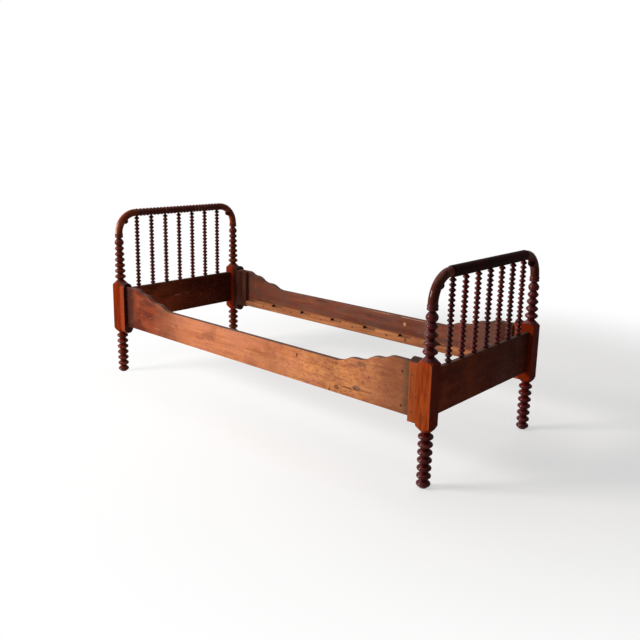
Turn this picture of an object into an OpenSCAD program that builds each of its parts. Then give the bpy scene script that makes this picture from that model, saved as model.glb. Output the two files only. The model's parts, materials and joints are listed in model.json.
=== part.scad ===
// Spool-turned single bed frame: two turned ends joined by a pair of hooked side rails.
// +X runs towards the foot, +Y towards the far side, +Z up; the origin is on the floor at the middle.

/* [Overall] */
// Distance between the head post and foot post centres
post_run = 1905; // [1700:5:2050]
// Distance between the near post and far post centres
post_span = 773; // [680:1:1100]
// Height of the head's top rail, at its centre
head_rail_z = 834; // [800:1:900]
// Height of the foot's top rail, at its centre
foot_rail_z = 782; // [740:1:800]

/* [Posts] */
// Width of the square block of each post
post_w = 58; // [54:1:64]
// Height of the turned leg under the block
leg_h = 211; // [190:1:240]
// Number of beads on the leg
leg_beads = 7; // [6:1:8]
// Radius of the largest leg bead
leg_bead_r = 28.4; // [26:0.1:28.8]
// Radius of the smallest leg bead, next to the foot
foot_bead_r = 26.8; // [24:0.1:28]
// Radius of the leg between its beads
leg_core_r = 14.4; // [13:0.1:17]
// Height of the block, over both of its shoulders
block_h = 284; // [270:1:300]
// Number of beads above the block of a head post
head_post_beads = 6; // [5:1:7]
// Number of beads above the block of a foot post
foot_post_beads = 4; // [3:1:5]
// Radius of the bead next to the block
low_bead_r = 27.4; // [25:0.1:28.5]
// Radius of the highest bead
top_bead_r = 23; // [22:0.1:27]
// Radius between the beads above the block
upper_core_r = 13.2; // [12:0.1:16]
// Radius of a bead's rounded crest, as a share of the bead's length
post_crest = 0.26; // [0.12:0.01:0.3]

/* [Post crown] */
// Height of the crown, from the last bead to the bend
crown_h = 62; // [58:1:70]
// Radius of the bulb
bulb_r = 23; // [21:0.5:25]
// Depth of the bulb's widest place below the bend
bulb_drop = 45.5; // [44:0.5:48]
// Radius of the slim neck above the bulb
crown_neck_r = 11; // [10:0.5:14]
// Radius of the two collar rings
ring_r = 20.8; // [20:0.1:22]
// Height of one collar ring
ring_h = 10.4; // [9:0.1:10.8]

/* [Bends and top rails] */
// Radius of each bend, at the middle of the tube
corner_r = 102; // [90:1:120]
// Radius of the bend's round section
tube_r = 18.5; // [18:0.1:19.5]
// Radius of the button inside each bend
boss_r = 15; // [12:0.5:15]
// Straight height of the button's side
boss_side = 4; // [3:0.5:6]
// Distance from the middle of the bend's section to the button's seat
boss_seat = 11; // [9:0.5:12]
// Radius of a bead on the head's top rail
rail_bead_r = 20.4; // [19.6:0.1:21.4]
// Radius between the beads on the head's top rail
rail_core_r = 16.2; // [15:0.1:17.5]
// Wanted length of one bead on the head's top rail
rail_bead_len = 22; // [18:1:28]
// Radius of such a bead's rounded crest, as a share of the bead's length
rail_crest = 0.2; // [0.12:0.01:0.3]
// Radius of the foot's plain top roll
roll_r = 22; // [20:0.5:24]
// Length of the slope at each end of the roll
roll_slope = 9; // [5:1:14]

/* [Spindles] */
// Number of spindles in each end
spindles = 7; // [5:1:8]
// Mean distance from a post's centre to the nearest spindle
spindle_edge = 116; // [115:1:125]
// Shift of the head's row of spindles off the middle, towards the far side
head_spindle_shift = -6; // [-7:1:7]
// Shift of the foot's row of spindles off the middle, towards the far side
foot_spindle_shift = 6; // [-7:1:7]
// Radius of a spindle bead
spindle_bead_r = 13.4; // [12:0.1:14]
// Radius of a spindle between its beads
spindle_core_r = 6; // [5.2:0.1:8]
// Wanted length of one spindle bead
spindle_bead_len = 18.6; // [16:0.2:22]
// Radius of such a bead's rounded crest, as a share of the bead's length
spindle_crest = 0.16; // [0.12:0.01:0.3]
// Radius of the pegs turned on a spindle's ends
peg_r = 5; // [4.2:0.1:5.2]
// Length of the peg at the foot of a spindle
peg_len = 16; // [12:1:22]

/* [End panels] */
// Height of the panels' lower edge
panel_z0 = 270; // [262:1:280]
// Height of each panel board
panel_h = 174; // [165:1:190]
// Thickness of each panel board
panel_t = 22; // [18:1:26]
// Length of the tenon on each end of a panel
tenon_len = 24; // [16:1:26]
// Thickness of that tenon
tenon_t = 12; // [8:1:14]
// Shoulder above and below that tenon
tenon_shoulder = 14; // [8:1:24]

/* [Hook blocks] */
// Thickness of the block glued to each post, along the bed
hook_block_t = 36; // [34:1:44]
// Width of that block, across the bed
hook_block_w = 51; // [46:1:54]
// Height of the block's round lower end
hook_block_z0 = 218.5; // [214:0.5:224]
// Height of the block's round upper end
hook_block_z1 = 481.5; // [478:0.5:488]
// Step from the post's outer face back to this block
hook_block_setback = 1.5; // [0:0.5:3]

/* [Side rails] */
// Height of the side rails' lower edge
rail_z0 = 257; // [250:1:268]
// Thickness of a side rail
rail_t = 22; // [19:1:25]
// Height of the side rail along its straight middle
rail_mid_h = 134; // [124:1:150]
// Step from the post's outer face back to the side rail
rail_setback = 19; // [17:1:22]
// Rise of each of the three waves, from the post to the middle
wave_rise = [17, 29.5, 25.5];
// Length of the level part before each wave
wave_flat = [82, 6, 16];
// Length of the slope of each wave
wave_run = [62, 94, 98];

/* [Rail fittings] */
// Width of the cleat at each rail end, along the bed
cleat_w = 82; // [76:1:95]
// Thickness of that cleat
cleat_t = 20; // [14:1:22]
// Height of the middle of the hooks above the side rail's lower edge
hook_mid = 95; // [88:1:100]
// Distance between the two hooks
hook_gap = 136; // [120:1:140]
// Thickness of the hook iron
iron_t = 3; // [2.5:0.5:4]
// Length of the iron's plate along the rail
iron_w = 56; // [50:1:64]
// Reach of the hooks past the rail's end
hook_reach = 24; // [22:1:26]
// Height of one hook
hook_h = 28; // [26:1:32]
// Distance from the rail's end to the pins that the hooks hang on
hook_pin_in = 14; // [12:0.5:15]
// Radius of those pins
hook_pin_r = 3.5; // [3:0.1:4]
// Length of those pins
hook_pin_len = 45; // [42:1:46]
// Height that a hook lifts to come off its pin
hook_lift = 15; // [14:1:20]
// Distance between the two rivets of a cleat
rivet_gap = 130; // [110:1:134]
// Radius of a rivet's shank
rivet_r = 3; // [2.5:0.1:3.5]
// Radius of a rivet's head
rivet_head_r = 5; // [4.5:0.1:6]

/* [Slat ledges] */
// Height of the ledge's lower edge above the side rail's
ledge_up = 8; // [2:1:12]
// Height of the ledge strip
ledge_h = 38; // [32:1:46]
// Thickness of the ledge strip
ledge_t = 20; // [16:1:22]
// Number of slat gains in each ledge
gains = 8; // [6:1:10]
// Width of each gain, along the bed
gain_w = 76; // [60:1:90]
// Depth of each gain
gain_d = 12; // [8:1:16]
// Length of a ledge screw
screw_len = 34; // [30:1:38]
// Radius of a ledge screw's shank
screw_r = 2.2; // [2:0.1:2.5]
// Radius of a ledge screw's head
screw_head_r = 4.4; // [4:0.1:5]

/* [Fits] */
// Radius of the peg that joins a post to its bend
post_peg_r = 7; // [6:0.5:8]
// Length of that peg
post_peg_len = 24; // [16:1:28]
// Radius of the dowels between bend and top rail
dowel_r = 6; // [5:0.5:7]
// Depth that a dowel reaches into each piece
dowel_in = 27; // [20:1:32]
// Radius of the peg behind the button
boss_peg_r = 5; // [4:0.5:6]
// Length of that peg
boss_peg_len = 12; // [8:1:14]
// Gap around pegs, pins, tenons and irons
fit = 0.2; // [0.1:0.05:0.3]
// Space left at the bottom of a blind hole
hole_end = 1.5; // [1:0.5:3]

/* [Hidden] */
ENDS = ["head", "foot"];
SIDES = ["near", "far"];
CORNER_PARTS = ["post", "bend", "button", "hook_block", "cleat", "iron", "pins", "rivets"];
$fn = 64;

// Direction of each end along x, and of each side along y
head = -1;
foot = 1;
near = -1;
far = 1;

// Overshoot of a cut past the face that it opens
cut = 1;
// Depth under the groove's flat at which the flanks of two beads would meet
groove = 0.6;
// How far a flank of a bead starts inside the bead's round crest
crest_overlap = 0.05;
// Steepness of the bulb's straight taper, measured at the bulb's middle
bulb_slope = 37;
// Height of the slim neck's straight part
crown_neck_h = 3;
// How far the rounded rim of a collar ring stands out
ring_rim = 2.6;
// Radius of the panel's upper edges
panel_ease = 4;
// Wood left between a spindle's peg hole and the dowel over it
peg_roof = 3;
// Height of a hook below the middle of its pin
hook_below_pin = 12;
// Iron left above and below the two pins
iron_margin = 18;
// Step from the side rail's upper edge down to the cleat
cleat_drop = 3;
// Flat steps along each crest and each hollow of the side rail's waves
wave_steps = 8;

// Heights
block_top = leg_h + block_h;
panel_top = panel_z0 + panel_h;
hook_z = rail_z0 + hook_mid;
rail_z1 = rail_z0 + rail_mid_h + wave_rise[0] + wave_rise[1] + wave_rise[2];
ledge_z0 = rail_z0 + ledge_up;

// Distances from a post's centre towards the middle of the bed, along it (x) and across it (y)
post_half = post_w / 2;
rail_x0 = post_half + hook_block_t;
cleat_x1 = rail_x0 + cleat_w;
pin_x = rail_x0 - hook_pin_in;
rivet_x = rail_x0 + cleat_w / 2;
block_y0 = hook_block_setback - post_half;
rail_y0 = rail_setback - post_half;
rail_y1 = rail_y0 + rail_t;

// Lengths and spacings
block_reach = post_half * sqrt(2);
shoulder_h = block_reach - leg_core_r;
panel_len = post_span - post_w;
top_rail_len = post_span - 2 * corner_r;
spindle_step = (post_span - 2 * spindle_edge) / (spindles - 1);
ledge_len = post_run - 2 * cleat_x1;
gain_step = (ledge_len - gain_w) / (gains - 1);
rivet_head_h = rivet_head_r - rivet_r;
screw_head_h = screw_head_r - screw_r;

mahogany = "#4a1a12";
dark_mahogany = "#1e0c0a";
dark_board = "#2e130c";
orange_wood = "#a8501f";
rail_wood = "#a35c38";
ledge_wood = "#b8733f";
old_wood = "#54382c";
iron = "#3a3430";

function bend_start(rail_z) = rail_z - corner_r;
function arc_r(chord, depth) = (chord * chord / 4 + depth * depth) / (2 * depth);
function spindle_shift(end) = end == head ? head_spindle_shift : foot_spindle_shift;
function spindle_y(end, i) = spindle_edge - post_span / 2 + spindle_shift(end) + (i - 1) * spindle_step;
function top_peg_len(rail_r) = rail_r - dowel_r - peg_roof;
function hook_pin_z(k) = hook_z + k * hook_gap / 2;
function rivet_z(k) = hook_z + k * rivet_gap / 2;
function gain_x(k) = k * gain_step - ledge_len / 2;
// Start and height of the level stretch before wave i
function level_x(i) = i == 0 ? rail_x0 : level_x(i - 1) + wave_flat[i - 1] + wave_run[i - 1];
function level_z(i) = i == 0 ? rail_z1 : level_z(i - 1) - wave_rise[i - 1];

module flip(axis, on) {
    if (on) mirror(axis) children();
    else children();
}

// Puts what is drawn at one post's centre at the chosen corner of the bed
module at_corner(end, side) {
    translate([end * post_run / 2, side * post_span / 2, 0])
        flip([1, 0, 0], end == foot) flip([0, 1, 0], side == far) children();
}

// Puts what is drawn for the near side at the chosen side of the bed
module at_side(side) {
    flip([0, 1, 0], side == far) translate([0, -post_span / 2, 0]) children();
}

// Half profile of one bead: a round crest with a straight flank down to the groove on each side
module bead(r, step, core, crest_r) {
    low = [core - groove, step / 2];
    middle = [r - crest_r, 0];
    lean = atan2(low[1], low[0] - middle[0]) - acos(crest_r / norm(low - middle));
    high = middle + (crest_r - crest_overlap) * [cos(lean), sin(lean)];
    end = low + (low - high) * crest_overlap;
    translate(middle) circle(crest_r);
    polygon([[0, -end[1]], [end[0], -end[1]], [high[0], -high[1]], high, end, [0, end[1]]]);
}

// Half profile of a row of beads along the y axis; the bead radius runs from r0 to r1
module bead_row(start, len, count, r0, r1, core, crest) {
    step = len / count;
    intersection() {
        translate([0, start]) square([max(r0, r1) + cut, len]);
        union() {
            translate([0, start]) square([core, len]);
            for (i = [0:count - 1]) {
                r = r0 + (r1 - r0) * i / (count - 1);
                translate([0, start + (i + 0.5) * step]) bead(r, step, core, crest * step);
            }
        }
    }
}

// Half profile of the bulb, the slim neck and the two collar rings under a bend
module crown_profile(top) {
    low_r = upper_core_r - groove;
    bulb_z = top - bulb_drop;
    bulb_arc = arc_r(2 * (crown_h - bulb_drop), bulb_r - low_r);
    bulb_x = bulb_r - bulb_arc;
    taper = [bulb_x + bulb_arc * cos(bulb_slope), bulb_z + bulb_arc * sin(bulb_slope)];
    rings_z = top - 2 * ring_h;
    ring_arc = arc_r(ring_h, ring_rim);
    intersection() {
        translate([bulb_x, bulb_z]) circle(bulb_arc);
        translate([0, top - crown_h]) square([bulb_r + cut, taper[1] - top + crown_h]);
    }
    polygon([
        [0, bulb_z], taper, [crown_neck_r, rings_z - crown_neck_h],
        [crown_neck_r, rings_z], [0, rings_z]
    ]);
    translate([0, rings_z]) square([ring_r - ring_rim, 2 * ring_h]);
    intersection() {
        translate([0, rings_z]) square([ring_r + cut, 2 * ring_h]);
        for (i = [0, 1]) {
            translate([ring_r - ring_arc, rings_z + (i + 0.5) * ring_h]) circle(ring_arc);
        }
    }
}

// The square block, with its corners turned away to a shoulder at both ends
module post_block() {
    intersection() {
        translate([-post_half, -post_half, leg_h]) cube([post_w, post_w, block_h]);
        rotate_extrude() polygon([
            [0, leg_h], [leg_core_r, leg_h], [block_reach + cut, leg_h + shoulder_h + cut],
            [block_reach + cut, block_top - shoulder_h - cut], [leg_core_r, block_top], [0, block_top]
        ]);
    }
}

// One post, turned in one length around a heart that runs on as the peg for the bend
module post(rail_z, beads) {
    joint = bend_start(rail_z);
    beads_len = joint - crown_h - block_top;
    color(mahogany) difference() {
        union() {
            rotate_extrude() bead_row(0, leg_h, leg_beads, foot_bead_r, leg_bead_r, leg_core_r, post_crest);
            post_block();
            rotate_extrude()
                bead_row(block_top, beads_len, beads, low_bead_r, top_bead_r, upper_core_r, post_crest);
            rotate_extrude() crown_profile(joint);
            cylinder(r = post_peg_r, h = joint + post_peg_len);
        }
        translate([-tenon_t / 2 - fit, post_half - tenon_len - hole_end, panel_z0 + tenon_shoulder - fit])
            cube([tenon_t + 2 * fit, tenon_len + hole_end + cut, panel_h - 2 * tenon_shoulder + 2 * fit]);
    }
}

// Coordinates of a bend: its centre is the origin, x points at the post and y at the top rail
module in_bend(rail_z) {
    translate([0, corner_r, bend_start(rail_z)]) rotate([90, 0, -90]) children();
}

// Stands on the button's seat; z points from the middle of the section to the bend's centre
module at_button() {
    rotate([0, 0, 45]) translate([corner_r - boss_seat, 0, 0]) rotate([0, -90, 0]) children();
}

module bend(rail_z) {
    color(mahogany) in_bend(rail_z) difference() {
        rotate_extrude(angle = 90) translate([corner_r, 0]) circle(tube_r);
        translate([corner_r, -cut, 0]) rotate([-90, 0, 0])
            cylinder(r = post_peg_r + fit, h = post_peg_len + hole_end + cut);
        translate([-cut, corner_r, 0]) rotate([0, 90, 0])
            cylinder(r = dowel_r + fit, h = dowel_in + hole_end + cut);
        at_button() {
            cylinder(r = boss_r + fit, h = boss_seat + tube_r);
            translate([0, 0, -boss_peg_len - hole_end])
                cylinder(r = boss_peg_r + fit, h = boss_peg_len + hole_end + cut);
        }
    }
}

module button(rail_z) {
    color(mahogany) in_bend(rail_z) at_button() rotate_extrude() {
        translate([0, -boss_peg_len]) square([boss_peg_r, boss_peg_len + cut]);
        square([boss_r, boss_side]);
        intersection() {
            translate([0, boss_side]) circle(boss_r);
            translate([0, boss_side]) square(boss_r);
        }
    }
}

// Holes of a top rail: one for the dowel at each end, and a row for the spindles' pegs
module top_rail_holes(end, rail_z, rail_r) {
    for (side = [near, far]) {
        translate([0, side * (top_rail_len / 2 - dowel_in - hole_end), rail_z]) rotate([-side * 90, 0, 0])
            cylinder(r = dowel_r + fit, h = dowel_in + hole_end + cut);
    }
    for (i = [1:spindles]) {
        translate([0, spindle_y(end, i), rail_z - rail_r - cut])
            cylinder(r = peg_r + fit, h = top_peg_len(rail_r) + hole_end + cut);
    }
}

module head_top_rail() {
    beads = round(top_rail_len / rail_bead_len);
    color(mahogany) translate([head * post_run / 2, 0, 0]) difference() {
        translate([0, -top_rail_len / 2, head_rail_z]) rotate([-90, 0, 0]) rotate_extrude()
            bead_row(0, top_rail_len, beads, rail_bead_r, rail_bead_r, rail_core_r, rail_crest);
        top_rail_holes(head, head_rail_z, rail_bead_r);
    }
}

module foot_top_rail() {
    color(dark_mahogany) translate([foot * post_run / 2, 0, 0]) difference() {
        translate([0, -top_rail_len / 2, foot_rail_z]) rotate([-90, 0, 0]) rotate_extrude() polygon([
            [0, 0], [tube_r, 0], [roll_r, roll_slope], [roll_r, top_rail_len - roll_slope],
            [tube_r, top_rail_len], [0, top_rail_len]
        ]);
        top_rail_holes(foot, foot_rail_z, roll_r);
    }
}

module dowels(end, rail_z) {
    color(rail_wood) for (side = [near, far]) {
        translate([end * post_run / 2, side * top_rail_len / 2 - dowel_in, rail_z]) rotate([-90, 0, 0])
            cylinder(r = dowel_r, h = 2 * dowel_in);
    }
}

// End board with rounded upper edges, a tenon on each end and holes for the spindles' pegs
module panel(end) {
    color(dark_board) translate([end * post_run / 2, 0, 0]) difference() {
        union() {
            translate([0, panel_len / 2, panel_z0]) rotate([90, 0, 0]) linear_extrude(panel_len) {
                translate([-panel_t / 2, 0]) square([panel_t, panel_h - panel_ease]);
                translate([panel_ease - panel_t / 2, 0]) square([panel_t - 2 * panel_ease, panel_h]);
                for (face = [-1, 1]) {
                    translate([face * (panel_t / 2 - panel_ease), panel_h - panel_ease]) circle(panel_ease);
                }
            }
            translate([-tenon_t / 2, -panel_len / 2 - tenon_len, panel_z0 + tenon_shoulder])
                cube([tenon_t, panel_len + 2 * tenon_len, panel_h - 2 * tenon_shoulder]);
        }
        for (i = [1:spindles]) {
            translate([0, spindle_y(end, i), panel_top - peg_len - hole_end])
                cylinder(r = peg_r + fit, h = peg_len + hole_end + cut);
        }
    }
}

// Turned spindle between the panel's upper edge and the underside of the top rail
module spindle(end, rail_z, rail_r, i) {
    len = rail_z - rail_r - panel_top;
    beads = round(len / spindle_bead_len);
    color(mahogany) translate([end * post_run / 2, spindle_y(end, i), panel_top]) rotate_extrude() {
        bead_row(0, len, beads, spindle_bead_r, spindle_bead_r, spindle_core_r, spindle_crest);
        translate([0, -peg_len]) square([peg_r, peg_len + cut]);
        translate([0, len - cut]) square([peg_r, top_peg_len(rail_r) + cut]);
    }
}

// Block glued to the post, with a slot for each hook and a hole for each pin; its upper end is round,
// and its lower end is round or sawn square
module hook_block(round_foot) {
    r = hook_block_w / 2;
    slot_y0 = rail_y1 - iron_t - fit;
    color(orange_wood) difference() {
        translate([post_half, block_y0 + r, 0]) rotate([90, 0, 90]) linear_extrude(hook_block_t) {
            translate([-r, hook_block_z0 + r]) square([hook_block_w, hook_block_z1 - hook_block_z0 - 2 * r]);
            if (round_foot) translate([0, hook_block_z0 + r]) circle(r);
            translate([0, hook_block_z1 - r]) circle(r);
        }
        for (k = [-1, 1]) {
            translate([rail_x0 - hook_reach - hole_end, slot_y0, hook_pin_z(k) - hook_below_pin - fit])
                cube([hook_reach + hole_end + cut, iron_t + 2 * fit, hook_h + hook_lift + 2 * fit]);
            translate([pin_x, block_y0 - cut, hook_pin_z(k)]) rotate([-90, 0, 0])
                cylinder(r = hook_pin_r + fit / 2, h = hook_pin_len + cut);
        }
    }
}

module hook_pins() {
    color(iron) for (k = [-1, 1]) {
        translate([pin_x, block_y0, hook_pin_z(k)]) rotate([-90, 0, 0])
            cylinder(r = hook_pin_r, h = hook_pin_len);
    }
}

// Height and length of the iron's plate, shared with the recess that it lies in
iron_z0 = hook_z - hook_gap / 2 - iron_margin;
iron_h = hook_gap + 2 * iron_margin;

// Plate let into the back of the side rail, with two hooks that drop over the pins
module hook_iron() {
    notch_r = hook_pin_r + fit;
    color(iron) translate([0, rail_y1, 0]) rotate([90, 0, 0]) linear_extrude(iron_t) difference() {
        union() {
            translate([rail_x0, iron_z0]) square([iron_w, iron_h]);
            for (k = [-1, 1]) {
                translate([rail_x0 - hook_reach, hook_pin_z(k) - hook_below_pin])
                    square([hook_reach + cut, hook_h]);
            }
        }
        for (k = [-1, 1]) {
            translate([pin_x, hook_pin_z(k)]) circle(notch_r);
            translate([pin_x - notch_r, hook_pin_z(k) - hook_below_pin - cut])
                square([2 * notch_r, hook_below_pin + cut]);
            translate([rivet_x, rivet_z(k)]) circle(rivet_r + fit);
        }
    }
}

module iron_recess() {
    translate([rail_x0 - cut, rail_y1 - iron_t - fit, iron_z0 - fit])
        cube([iron_w + cut + fit, iron_t + fit + cut, iron_h + 2 * fit]);
}

// Rivets through the side rail, the iron and the cleat, with sunk heads on the outer face
module rivets() {
    color(iron) for (k = [-1, 1]) {
        translate([rivet_x, rail_y0, rivet_z(k)]) rotate([-90, 0, 0]) {
            cylinder(r1 = rivet_head_r, r2 = rivet_r, h = rivet_head_h);
            cylinder(r = rivet_r, h = rail_t + cleat_t);
        }
    }
}

module rivet_holes() {
    for (k = [-1, 1]) {
        translate([rivet_x, rail_y0, rivet_z(k)]) rotate([-90, 0, 0]) {
            cylinder(r1 = rivet_head_r + fit, r2 = rivet_r + fit, h = rivet_head_h);
            cylinder(r = rivet_r + fit, h = rail_t + cleat_t + cut);
        }
    }
}

module cleat() {
    color(old_wood) difference() {
        translate([rail_x0, rail_y1, rail_z0]) cube([cleat_w, cleat_t, rail_z1 - rail_z0 - cleat_drop]);
        rivet_holes();
    }
}

// Points of one wave of the rail's upper edge: a round crest that runs into an equal hollow
function wave(x, z, run, rise) =
    let (r = (run * run + rise * rise) / (4 * rise), turn = 2 * atan(rise / run) / wave_steps)
    concat(
        [for (i = [0:wave_steps]) [x + r * sin(turn * i), z - r * (1 - cos(turn * i))]],
        [for (i = [wave_steps - 1:-1:0]) [x + run - r * sin(turn * i), z - rise + r * (1 - cos(turn * i))]]
    );

// Upper edge of half a side rail, from its end to its straight middle
rail_edge = concat(
    [[rail_x0, rail_z1]],
    [for (i = [0:2], p = wave(level_x(i) + wave_flat[i], level_z(i), wave_run[i], wave_rise[i])) p]
);

module side_rail(side) {
    half = post_run / 2;
    color(rail_wood) difference() {
        at_side(side) translate([0, rail_y1, 0]) rotate([90, 0, 0]) linear_extrude(rail_t) polygon(concat(
            [[rail_x0 - half, rail_z0]],
            [for (p = rail_edge) [p[0] - half, p[1]]],
            [for (i = [len(rail_edge) - 1:-1:0]) [half - rail_edge[i][0], rail_edge[i][1]]],
            [[half - rail_x0, rail_z0]]
        ));
        for (end = [head, foot]) {
            at_corner(end, side) iron_recess();
            at_corner(end, side) rivet_holes();
        }
        at_side(side) screws(fit);
    }
}

// Strip along the bottom of the side rail; a slat lies in each gain between two lands
module slat_ledge(side) {
    color(ledge_wood) at_side(side) difference() {
        translate([-ledge_len / 2, rail_y1, ledge_z0]) {
            cube([ledge_len, ledge_t, ledge_h - gain_d]);
            for (k = [0:gains - 2]) {
                translate([gain_w + k * gain_step, 0, 0]) cube([gain_step - gain_w, ledge_t, ledge_h]);
            }
        }
        screws(fit);
    }
}

// Countersunk screws through the lands, or the holes for them when there is a gap
module screws(gap) {
    for (k = [0:gains - 2]) {
        translate([gain_x(k) + (gain_w + gain_step) / 2, rail_y1 + ledge_t, ledge_z0 + ledge_h / 2])
            rotate([90, 0, 0]) {
                cylinder(r1 = screw_head_r + gap, r2 = screw_r + gap, h = screw_head_h);
                cylinder(r = screw_r + gap, h = screw_len + 2 * gap);
            }
    }
}

module ledge_screws(side) {
    color(iron) at_side(side) screws(0);
}

for (e = ENDS) {
    end = e == "head" ? head : foot;
    rail_z = e == "head" ? head_rail_z : foot_rail_z;
    rail_r = e == "head" ? rail_bead_r : roll_r;
    post_beads = e == "head" ? head_post_beads : foot_post_beads;
    for (s = SIDES) {
        side = s == "near" ? near : far;
        round_foot = end == head || side == far;
        at_corner(end, side) post(rail_z, post_beads);
        at_corner(end, side) bend(rail_z);
        at_corner(end, side) button(rail_z);
        at_corner(end, side) hook_block(round_foot);
        at_corner(end, side) cleat();
        at_corner(end, side) hook_iron();
        at_corner(end, side) hook_pins();
        at_corner(end, side) rivets();
    }
    for (i = [1:spindles]) {
        spindle(end, rail_z, rail_r, i);
    }
    dowels(end, rail_z);
    panel(end);
}
head_top_rail();
foot_top_rail();
for (s = SIDES) {
    side = s == "near" ? near : far;
    side_rail(side);
    slat_ledge(side);
    ledge_screws(side);
}
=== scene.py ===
import json
import math
import bpy
from mathutils import Euler, Matrix, Vector

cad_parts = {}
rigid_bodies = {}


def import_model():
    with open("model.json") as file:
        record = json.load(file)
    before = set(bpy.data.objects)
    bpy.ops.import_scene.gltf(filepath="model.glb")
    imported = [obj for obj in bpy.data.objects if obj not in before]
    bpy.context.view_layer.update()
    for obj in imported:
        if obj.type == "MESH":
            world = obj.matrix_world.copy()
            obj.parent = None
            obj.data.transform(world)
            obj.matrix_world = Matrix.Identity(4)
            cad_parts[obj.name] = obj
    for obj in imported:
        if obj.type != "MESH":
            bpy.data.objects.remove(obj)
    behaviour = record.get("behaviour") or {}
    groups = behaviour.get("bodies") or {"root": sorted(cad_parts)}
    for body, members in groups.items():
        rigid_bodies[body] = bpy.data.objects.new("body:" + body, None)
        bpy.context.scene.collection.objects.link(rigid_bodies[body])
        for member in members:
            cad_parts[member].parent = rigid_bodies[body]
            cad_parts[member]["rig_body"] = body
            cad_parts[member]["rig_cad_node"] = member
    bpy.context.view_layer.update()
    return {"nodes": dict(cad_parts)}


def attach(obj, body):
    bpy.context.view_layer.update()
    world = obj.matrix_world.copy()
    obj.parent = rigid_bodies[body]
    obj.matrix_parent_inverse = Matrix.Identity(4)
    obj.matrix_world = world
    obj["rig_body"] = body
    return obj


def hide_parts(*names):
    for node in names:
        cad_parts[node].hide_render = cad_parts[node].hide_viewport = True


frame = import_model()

nodes = frame["nodes"]
print("frame loaded:", len(nodes), "pieces")

# places in metres that the patterns are laid out on
bed = {
    "halfRun": 0.9525,       # from the middle to a post, along the bed
    "halfSpan": 0.3865,      # from the middle to a post, across the bed
    "postsFrom": 0.34,       # the posts stand farther out across the bed than this
    "blockLow": 0.211,       # the square part of a post
    "blockHigh": 0.495,
    "headRailZ": 0.834,
    "footRailZ": 0.782,
    "spindleStep": 0.541 / 6,
    "headShift": -0.006,     # each row of spindles stands a little off the middle
    "footShift": 0.006,
    "railEnd": 0.8875,       # where a side rail meets its hook blocks
    "gainFloor": 0.291,      # the bottoms of the ledges' slat gains
}


def paint(code):
    # a colour as seen on screen, turned into the linear values a shader takes
    parts = [int(code[i:i + 2], 16) / 255 for i in (0, 2, 4)]
    return tuple(((c + 0.055) / 1.055) ** 2.4 if c > 0.04045 else c / 12.92 for c in parts) + (1.0,)


def plug(tree, made, sockets):
    # each socket is given a value, or another node's socket to be linked to
    for key, value in sockets.items():
        if isinstance(value, bpy.types.NodeSocket):
            tree.links.new(value, made.inputs[key])
        else:
            made.inputs[key].default_value = value
    return made.outputs


def place(tree, kind, sockets=None, **settings):
    # adds a node with its settings and gives back what comes out of it
    made = tree.nodes.new("ShaderNode" + kind)
    for key, value in settings.items():
        setattr(made, key, value)
    return plug(tree, made, sockets or {})


def maths(tree, operation, first, second=0.0, third=0.0, clamp=False):
    sockets = {0: first, 1: second, 2: third}
    return place(tree, "Math", sockets, operation=operation, use_clamp=clamp)[0]


def vectorMaths(tree, operation, first, second=(0, 0, 0)):
    return place(tree, "VectorMath", {0: first, 1: second}, operation=operation)


def times(tree, first, *others):
    for other in others:
        first = maths(tree, "MULTIPLY", first, other)
    return first


def blend(tree, amount, under, over):
    return place(tree, "Mix", {0: amount, 6: under, 7: over}, data_type="RGBA")[2]


def lay(tree, colour, layer, *masks):
    # lays a layer, which is a colour and its share, over what is there, where the masks are at 1
    tint, share = layer
    return blend(tree, times(tree, *masks, share), colour, paint(tint))


def fade(tree, value, low, high):
    # 0 at low, 1 at high, smooth between; low may be the larger one
    sockets = {"Value": value, "From Min": low, "From Max": high}
    return place(tree, "MapRange", sockets, interpolation_type="SMOOTHSTEP")["Result"]


def noise(tree, vector, scale, detail, roughness=0.5, distortion=0.0):
    return place(tree, "TexNoise", {"Vector": vector, "Scale": scale, "Detail": detail,
                                    "Roughness": roughness, "Distortion": distortion})[0]


def split(tree, vector):
    return place(tree, "SeparateXYZ", {0: vector})


def combine(tree, x=0.0, y=0.0, z=0.0):
    return place(tree, "CombineXYZ", {0: x, 1: y, 2: z})[0]


def facing(tree):
    # which way the surface looks, along each axis
    return split(tree, place(tree, "NewGeometry")["Normal"])


def headEnd(tree, x):
    return maths(tree, "LESS_THAN", x, 0.0)


def footEnd(tree, x):
    return maths(tree, "GREATER_THAN", x, 0.0)


def newGroup(name, ins, outs):
    # an effect with its named inputs, each with a starting value, and its named outputs
    group = bpy.data.node_groups.new(name, "ShaderNodeTree")
    for label, value in ins.items():
        kind = "NodeSocketVector" if isinstance(value, tuple) else "NodeSocketFloat"
        socket = group.interface.new_socket(label, in_out="INPUT", socket_type=kind)
        socket.default_value = value
    for label in outs:
        group.interface.new_socket(label, in_out="OUTPUT", socket_type="NodeSocketFloat")
    return group, group.nodes.new("NodeGroupInput").outputs, group.nodes.new("NodeGroupOutput").inputs


def giveOut(group, result, sockets):
    for label, socket in sockets.items():
        group.links.new(socket, result[label])
    return group


def useGroup(tree, group, sockets):
    made = tree.nodes.new("ShaderNodeGroup")
    made.node_tree = group
    return plug(tree, made, sockets)


grainPattern = {
    "detail": 5.0,
    "rough": 0.62,
    "wander": 0.15,          # how far the streaks wander
    "figure": 0.16,          # the scale of the broad figure against the streaks
    "figureDetail": 1.5,
    "figureRough": 0.45,
    "figureWander": 0.6,
    "frayed": 2.2,           # how far the streaks fray the figure's lines
    "pores": 7.0,            # the scale of the pores against the streaks
    "poreStretch": 2.2,
    "poreDetail": 2.0,
    "poreEdge": (0.56, 0.66),
    "streakHeight": 0.6,
    "poreDepth": 0.5,
}


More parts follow.
